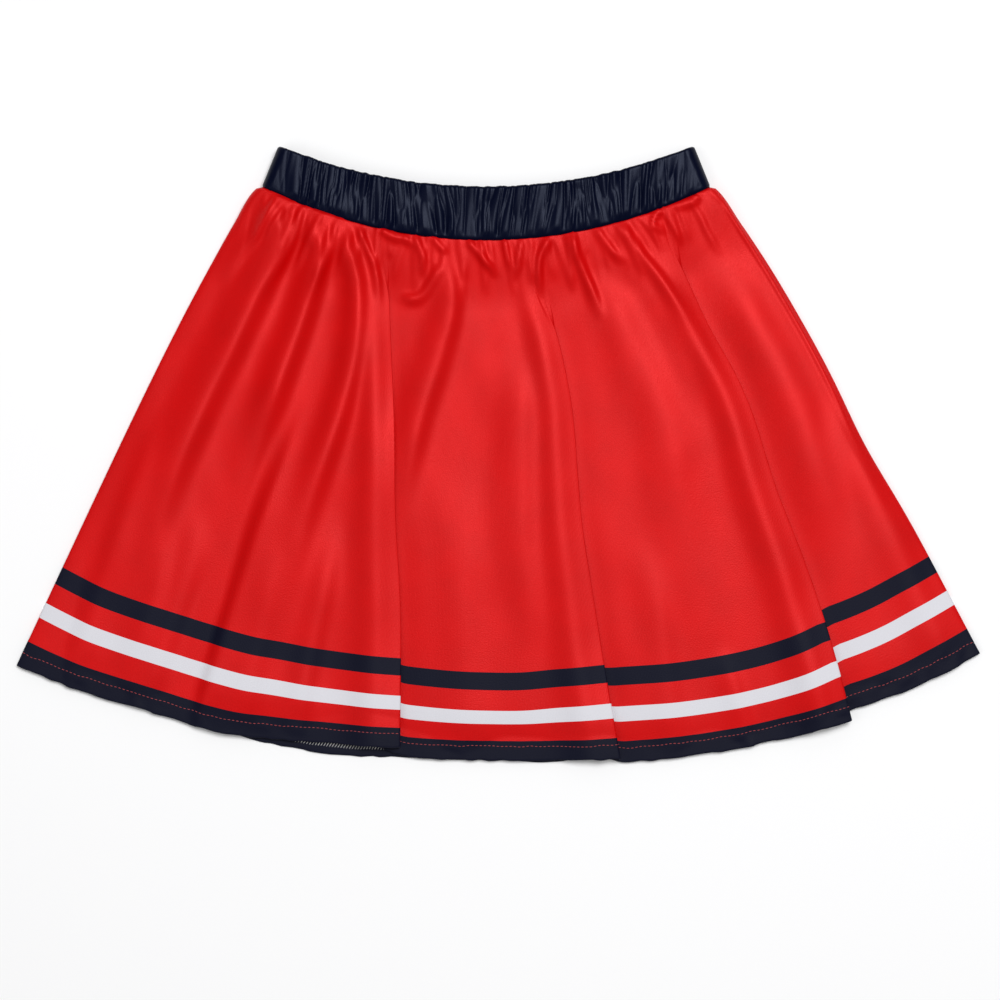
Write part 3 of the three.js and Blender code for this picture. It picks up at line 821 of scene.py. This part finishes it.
def side_overlock(name, hand):
    """The overlocked side allowance, pointing inwards between the two panels."""
    v = np.linspace(*SIDE_V, SIDE_POINTS)
    half_long = skirt_row(v)[1]
    s = hand * (half_long - SIDE_IN)
    x, y = on_row(skirt_row(v), s)
    z = seam_height(v) - SIDE_BELOW
    points = np.stack([x, y, z], axis=1)
    normals = np.tile([0.0, 0.0, 1.0], (len(v), 1))
    return stitches(name, points, normals, *SIDE_STITCH)


# ---- Labels ----

LABEL_PLY = 0.3 * MM
CARE_LABEL_V = 110 * MM / SKIRT_LONG
CARE_WIDE = 26 * MM
CARE_FROM, CARE_TO = 7.2 * MM, 54 * MM
CARE_HIGH, CARE_FALL, CARE_CURL = 3.3 * MM, 0.6 * MM, 0.5 * MM

# How far down the loop and how far up through its thickness, as shares.
TAG_PATH = [(0.0, 0.0), (0.35, 0.0), (0.7, 0.01), (0.93, 0.03), (1.0, 0.5), (0.93, 0.97),
            (0.7, 0.99), (0.35, 1.0), (0.0, 1.0)]
TAG_COLUMNS = 13


def size_label():
    """A folded satin loop hanging from the waist seam at centre back."""
    low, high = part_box("size_label")
    across = np.linspace(-1, 1, TAG_COLUMNS)
    half = (high[0] - low[0]) / 2 - 0.3 * MM
    inset = LABEL_PLY / 2
    xyz, uv = blank_grid(len(TAG_PATH), len(across))
    for j, (down, up) in enumerate(TAG_PATH):
        xyz[j, :, 0] = (low[0] + high[0]) / 2 + across * half
        xyz[j, :, 1] = high[1] - 0.4 * MM - down * (high[1] - low[1] - 1.0 * MM)
        xyz[j, :, 2] = low[2] + inset + up * (high[2] - low[2] - 2 * inset)
        uv[j, :, 0] = across * half
        uv[j, :, 1] = 2 * MM * j
    return thicken(cloth_grid("label_size", xyz, uv), LABEL_PLY)


def care_label():
    """A satin tape from the left side seam, lying on the back panel."""
    rows, columns = 15, 33
    xyz, uv = blank_grid(rows, columns)
    inwards = np.linspace(CARE_FROM, CARE_TO, columns)
    for j in range(rows):
        v = CARE_LABEL_V + (j / (rows - 1) - 0.5) * CARE_WIDE / SKIRT_LONG
        row = skirt_row(v)
        xyz[j, :, 0], xyz[j, :, 1] = on_row(row, -(row[1] - inwards))
        fall = smooth(7 * MM, 24 * MM, inwards)
        curl = CARE_CURL * smooth(38 * MM, CARE_TO, inwards) * (1 + math.cos(6 * j / rows)) / 2
        xyz[j, :, 2] = CARE_HIGH - CARE_FALL * fall + curl
        uv[j, :, 0] = inwards
        uv[j, :, 1] = CARE_WIDE * j / (rows - 1)
    return thicken(cloth_grid("label_care", xyz, uv), LABEL_PLY), xyz


# ---- Materials ----

def new_material(name, **values):
    material = bpy.data.materials.new(name)
    material.use_nodes = True
    shader = material.node_tree.nodes["Principled BSDF"]
    for socket, value in values.items():
        shader.inputs[socket.replace("_", " ")].default_value = value
    return material, material.node_tree, shader


def math_node(tree, operation, value, *numbers):
    """A math node on value and numbers, and its result."""
    node = tree.nodes.new("ShaderNodeMath")
    node.operation = operation
    tree.links.new(value, node.inputs[0])
    for socket, number in zip(node.inputs[1:], numbers):
        socket.default_value = number
    return node.outputs[0]


def texture(tree, kind, place, direction=None, **values):
    """The strength of a noise or wave over place, with its sockets set to values."""
    node = tree.nodes.new("ShaderNodeTex" + kind)
    if direction:
        node.bands_direction = direction
    for socket, value in values.items():
        node.inputs[socket].default_value = value
    tree.links.new(place, node.inputs["Vector"])
    return node.outputs["Fac"]


def mixed_colour(tree, share, first, second):
    """A colour between first and second, each a colour or the output of a node."""
    node = tree.nodes.new("ShaderNodeMixRGB")
    tree.links.new(share, node.inputs["Fac"])
    for socket, colour in (("Color1", first), ("Color2", second)):
        if isinstance(colour, tuple):
            node.inputs[socket].default_value = colour
        else:
            tree.links.new(colour, node.inputs[socket])
    return node.outputs["Color"]


def raise_surface(tree, shader, height, strength, distance):
    node = tree.nodes.new("ShaderNodeBump")
    node.inputs["Strength"].default_value = strength
    node.inputs["Distance"].default_value = distance
    tree.links.new(height, node.inputs["Height"])
    tree.links.new(node.outputs["Normal"], shader.inputs["Normal"])


def object_place(tree):
    return tree.nodes.new("ShaderNodeTexCoord").outputs["Object"]


def cloth_map(tree):
    node = tree.nodes.new("ShaderNodeUVMap")
    node.uv_map = "cloth"
    return node.outputs["UV"]


WALES_PER_METRE = 900
WALE_SCALE, WALE_HEIGHT = 0.314, 0.2
LOOP_SCALE, UNEVEN_SCALE = 1.1, 0.03
TWIST_SCALE, RIB_SCALE, LABEL_SCALE = 900, 160, 700
GRAIN_DISTANCE = 0.15 * MM
PRINT_GRAIN, BAND_GRAIN = 0.8, 0.3


def knit_grain_group():
    """Fine knit: narrow wales, small loops and a soft unevenness, from a cloth map."""
    group = bpy.data.node_groups.new("knit_grain", "ShaderNodeTree")
    for name, way, kind in (("Cloth", "INPUT", "Vector"), ("Height", "OUTPUT", "Float"),
                            ("Shade", "OUTPUT", "Float")):
        group.interface.new_socket(name, in_out=way, socket_type="NodeSocket" + kind)
    nodes, links = group.nodes, group.links
    start = nodes.new("NodeGroupInput")
    end = nodes.new("NodeGroupOutput")
    scaled = nodes.new("ShaderNodeVectorMath")
    scaled.operation = "SCALE"
    links.new(start.outputs["Cloth"], scaled.inputs[0])
    scaled.inputs["Scale"].default_value = WALES_PER_METRE
    place = scaled.outputs[0]
    wales = texture(group, "Wave", place, Scale=WALE_SCALE, Distortion=0.6, Detail=1.0)
    loops = texture(group, "Noise", place, Scale=LOOP_SCALE, Detail=2.0)
    uneven = texture(group, "Noise", place, Scale=UNEVEN_SCALE, Detail=3.0)
    height = math_node(group, "MULTIPLY_ADD", wales, WALE_HEIGHT)
    links.new(loops, height.node.inputs[2])
    links.new(height, end.inputs["Height"])
    shade = nodes.new("ShaderNodeMix")
    shade.inputs["Factor"].default_value = 0.5
    links.new(uneven, shade.inputs["A"])
    links.new(loops, shade.inputs["B"])
    links.new(shade.outputs["Result"], end.inputs["Shade"])
    return group


KNIT_GRAIN = knit_grain_group()
RED = (0.62, 0.0003, 0.0008, 1)
DEEP_RED = (0.51, 0.0001, 0.0003, 1)
NAVY = (0.0001, 0.0008, 0.0110, 1)
DEEP_NAVY = (0.0002, 0.0012, 0.0080, 1)
WHITE = (0.66, 0.655, 0.70, 1)

# The bare red satin has a coloured sheen. The printed ink is rougher and has none.
RED_SHEEN = 0.14
RED_ROUGHNESS = 0.45
INK_ROUGHER = 0.17

# Stripes from the hem up: how far from it each one ends, in mm, and its ink.
STRIPES_MM = [(16.3, "navy"), (33.0, "red"), (44.0, "white"), (58.5, "red"), (71.0, "navy")]
PRINT_SPAN = 100 * MM


def grain_into(tree, shader, bump, cloth):
    """Knit relief on the shader, and the grain's soft shade."""
    grain = tree.nodes.new("ShaderNodeGroup")
    grain.node_tree = KNIT_GRAIN
    tree.links.new(cloth, grain.inputs["Cloth"])
    raise_surface(tree, shader, grain.outputs["Height"], bump, GRAIN_DISTANCE)
    return grain.outputs["Shade"]


def striped(tree, share, inks):
    """A colour that changes sharply at each stripe's edge along share."""
    node = tree.nodes.new("ShaderNodeValToRGB")
    ramp = node.color_ramp
    ramp.interpolation = "CONSTANT"
    edges = [0.0] + [edge * MM / PRINT_SPAN for edge, _ in STRIPES_MM]
    names = [name for _, name in STRIPES_MM] + ["red"]
    for k, (edge, name) in enumerate(zip(edges, names)):
        element = ramp.elements[k] if k < 2 else ramp.elements.new(edge)
        element.position, element.color = edge, inks[name]
    tree.links.new(share, node.inputs["Fac"])
    return node.outputs["Color"]


def printed_knit():
    """Red satin-faced knit with its printed stripes, by distance from the hem."""
    material, tree, shader = new_material("printed_red_knit", Specular_IOR_Level=0.17)
    nodes, links = tree.nodes, tree.links
    cloth = cloth_map(tree)
    shade = grain_into(tree, shader, PRINT_GRAIN, cloth)
    even = nodes.new("ShaderNodeMapRange")
    even.inputs["From Min"].default_value = 0.25
    even.inputs["From Max"].default_value = 0.6
    links.new(shade, even.inputs["Value"])
    red = mixed_colour(tree, even.outputs[0], DEEP_RED, RED)
    split = nodes.new("ShaderNodeSeparateXYZ")
    links.new(cloth, split.inputs[0])
    share = math_node(tree, "DIVIDE", split.outputs["Y"], PRINT_SPAN)
    ink = striped(tree, share, {"navy": NAVY, "white": WHITE, "red": RED})
    inked, bare = (1, 1, 1, 1), (0, 0, 0, 1)
    cover = striped(tree, share, {"navy": inked, "white": inked, "red": bare})
    links.new(mixed_colour(tree, cover, red, ink), shader.inputs["Base Color"])
    sheen = math_node(tree, "MULTIPLY_ADD", cover, -RED_SHEEN, RED_SHEEN)
    links.new(sheen, shader.inputs["Metallic"])
    matte = math_node(tree, "MULTIPLY_ADD", cover, INK_ROUGHER, RED_ROUGHNESS)
    links.new(matte, shader.inputs["Roughness"])
    return material


def navy_satin():
    material, tree, shader = new_material(
        "navy_satin_knit", Roughness=0.36, Specular_IOR_Level=0.11,
        Specular_Tint=(0.66, 0.74, 1.0, 1))
    shade = grain_into(tree, shader, BAND_GRAIN, cloth_map(tree))
    tint = mixed_colour(tree, shade, DEEP_NAVY, NAVY)
    tree.links.new(tint, shader.inputs["Base Color"])
    return material


def twisted_thread(name, groove_shade, light):
    """Sewing thread: plies twisted round each other, drawn as a bump, with painted shade that
    darkens the colour in the grooves of the twist.
    """
    material, tree, shader = new_material(name, Roughness=0.5, Specular_IOR_Level=0.4)
    twist = texture(tree, "Wave", object_place(tree), "DIAGONAL", Scale=TWIST_SCALE)
    tree.links.new(mixed_colour(tree, twist, groove_shade, light), shader.inputs["Base Color"])
    raise_surface(tree, shader, twist, 0.4, 0.1 * MM)
    return material


def ribbed_elastic():
    material, tree, shader = new_material("ribbed_elastic", Roughness=0.75)
    ribs = texture(tree, "Wave", object_place(tree), "Y", Scale=RIB_SCALE)
    # Painted shade: the grooves between the ribs are coloured a darker grey than the rib tops,
    # following the rib bump.
    tint = mixed_colour(tree, ribs, (0.62, 0.62, 0.6, 1), (0.84, 0.84, 0.82, 1))
    tree.links.new(tint, shader.inputs["Base Color"])
    raise_surface(tree, shader, ribs, 1.0, 0.3 * MM)
    return material


def label_satin():
    material, tree, shader = new_material("label_satin", Roughness=0.35, Sheen_Weight=0.1)
    threads = texture(tree, "Wave", object_place(tree), Scale=LABEL_SCALE)
    tint = mixed_colour(tree, threads, (0.78, 0.77, 0.75, 1), (0.9, 0.89, 0.87, 1))
    tree.links.new(tint, shader.inputs["Base Color"])
    return material


PRINTED_KNIT = printed_knit()
NAVY_SATIN = navy_satin()
# Each thread's first colour is painted shade for the grooves of its twist, and the second is the
# colour of its plies.
RED_THREAD = twisted_thread("red_thread", (0.32, 0.03, 0.036, 1), (0.52, 0.09, 0.095, 1))
WHITE_THREAD = twisted_thread("white_thread", (0.6, 0.59, 0.57, 1), (0.85, 0.84, 0.82, 1))
NAVY_THREAD = twisted_thread("navy_thread", (0.006, 0.009, 0.02, 1), (0.02, 0.028, 0.06, 1))
ELASTIC = ribbed_elastic()
LABEL = label_satin()


def finish_piece(piece, material, node):
    """The material, body and slot of a piece, and the CAD node that it replaces."""
    piece.data.materials.append(material)
    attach(piece, "root")
    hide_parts(node)
    return piece


def finish_node(name, material):
    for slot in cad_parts[name].material_slots:
        slot.material = material


# ---- Assembly ----

ROWS = panel_rows()


def nearest_row(from_hem, inside):
    """The row of a panel closest to from_hem, on its outer ply or on the turned-up one."""
    def miss(j):
        v, turn, up = ROWS[j]
        turned_up = turn > 0.9 * math.pi
        where = up if inside else (1 - v) * SKIRT_LONG
        return abs(where - from_hem) + (0 if turned_up == inside else 1)
    return min(range(len(ROWS)), key=miss)


front, front_xyz = front_panel(ROWS)
back, back_xyz = back_panel(ROWS)
band_front, band_front_xyz = casing("band_front", 1, 21)
band_back, _ = casing("band_back", -1, 31)
elastic = elastic_ring()
finish_piece(front, PRINTED_KNIT, "front_panel")
finish_piece(back, PRINTED_KNIT, "back_panel")
finish_piece(band_front, NAVY_SATIN, "waistband_front")
finish_piece(band_back, NAVY_SATIN, "waistband_back")
finish_piece(elastic, ELASTIC, "waist_elastic")

stitch_row = nearest_row(HEM_STITCH, False)
inner_stitch_row = nearest_row(HEM_STITCH, True)
overlock_row = nearest_row(HEM_OVERLOCK, True)
back_overlock_row = nearest_row(BACK_OVERLOCK, True)
waist_row = nearest_row(SKIRT_LONG - WAIST_OVERLOCK, False)

for side, xyz, row, face, sink in (("front", front_xyz, stitch_row, 1, 0.2),
                                   ("back", back_xyz, inner_stitch_row, -1, 0.0)):
    threads = stitches_on(f"hem_stitches_{side}", xyz, row, face, *STITCH, sink=sink)
    finish_piece(threads, RED_THREAD, f"hem_topstitch_{side}")
for side, xyz, row, face in (("front", front_xyz, overlock_row, 1),
                             ("back", back_xyz, back_overlock_row, -1)):
    threads = stitches_on(f"hem_overlocking_{side}", xyz, row, face, *OVERLOCK,
                          slant=OVERLOCK_SLANT)
    finish_piece(threads, WHITE_THREAD, f"hem_overlock_{side}")
for side, xyz, face in (("front", front_xyz, -1), ("back", back_xyz, 1)):
    finish_piece(stitches_on(f"waist_overlocking_{side}", xyz, waist_row, face, *WAIST_STITCH),
                 RED_THREAD, f"waist_seam_overlock_{side}")
for edge, hand in (("left", -1), ("right", 1)):
    finish_piece(side_overlock(f"side_overlocking_{edge}", hand),
                 RED_THREAD, f"side_seam_overlock_{edge}")

label, label_xyz = care_label()
finish_piece(label, LABEL, "care_label")
sewn = label_xyz[:, 1] + np.array([0.0, 0.0, LABEL_PLY / 2])
upwards = np.tile([0.0, 0.0, 1.0], (len(sewn), 1))
finish_piece(stitches("label_care_stitches", sewn, upwards, *LABEL_STITCH),
             WHITE_THREAD, "care_label_stitching")
tag = finish_piece(size_label(), LABEL, "size_label")

outer_rows = range(4, 25)
seam_columns = {"left": BAND_ENDS // 2, "right": len(band_front_xyz[0]) - BAND_ENDS + 1}
for edge, i in seam_columns.items():
    normals = np.array([row_normals(band_front_xyz, j)[i] for j in outer_rows])
    outer = band_front_xyz[outer_rows, i] + normals * CLOTH / 2
    finish_piece(stitches(f"band_seam_{edge}", outer, normals, *BAND_STITCH),
                 NAVY_THREAD, f"band_seam_thread_{edge}")

for name in ("elastic_join_stitching", "size_label_stitching"):
    finish_node(name, WHITE_THREAD)


# ---- Floor, light and camera ----

FLOOR_HALF = 6
KEY_PLACE, KEY_SIZE, KEY_POWER = (0.6, 0.9, 3.2), (1.3, 1.3), 92
FILL_PLACE, FILL_SIZE, FILL_POWER = (-1.8, -0.6, 2.6), (1.8, 1.8), 10
WORLD_STRENGTH = 0.3
VIEW_WIDE = 0.70
VIEW_CENTRE = (0.0007, -0.0326)
LENS, SENSOR = 100.0, 36.0


def floor():
    bm = bmesh.new()
    bmesh.ops.create_grid(bm, x_segments=2, y_segments=2, size=FLOOR_HALF)
    ground = piece_from("floor", bm)
    material = new_material("floor_paper", Roughness=0.9, Base_Color=(0.93, 0.93, 0.935, 1))[0]
    ground.data.materials.append(material)


def area_light(name, place, size, power):
    """A rectangular lamp that points at the middle of the floor."""
    light = bpy.data.lights.new(name, "AREA")
    light.shape = "RECTANGLE"
    light.size, light.size_y = size
    light.energy = power
    lamp = bpy.data.objects.new(name, light)
    lamp.location = place
    lamp.rotation_euler = (-Vector(place)).to_track_quat("-Z", "Y").to_euler()
    bpy.context.collection.objects.link(lamp)


floor()
world = bpy.data.worlds.new("studio")
bpy.context.scene.world = world
world.use_nodes = True
sky = world.node_tree.nodes["Background"]
sky.inputs["Color"].default_value = (1, 1, 1, 1)
sky.inputs["Strength"].default_value = WORLD_STRENGTH
area_light("key", KEY_PLACE, KEY_SIZE, KEY_POWER)
area_light("fill", FILL_PLACE, FILL_SIZE, FILL_POWER)

lens = bpy.data.cameras.new("camera")
lens.lens = LENS
lens.sensor_width = SENSOR
camera = bpy.data.objects.new("camera", lens)
camera.location = (*VIEW_CENTRE, VIEW_WIDE * LENS / SENSOR + 0.01)
bpy.context.collection.objects.link(camera)
bpy.context.scene.camera = camera
bpy.context.scene.view_settings.view_transform = "Standard"
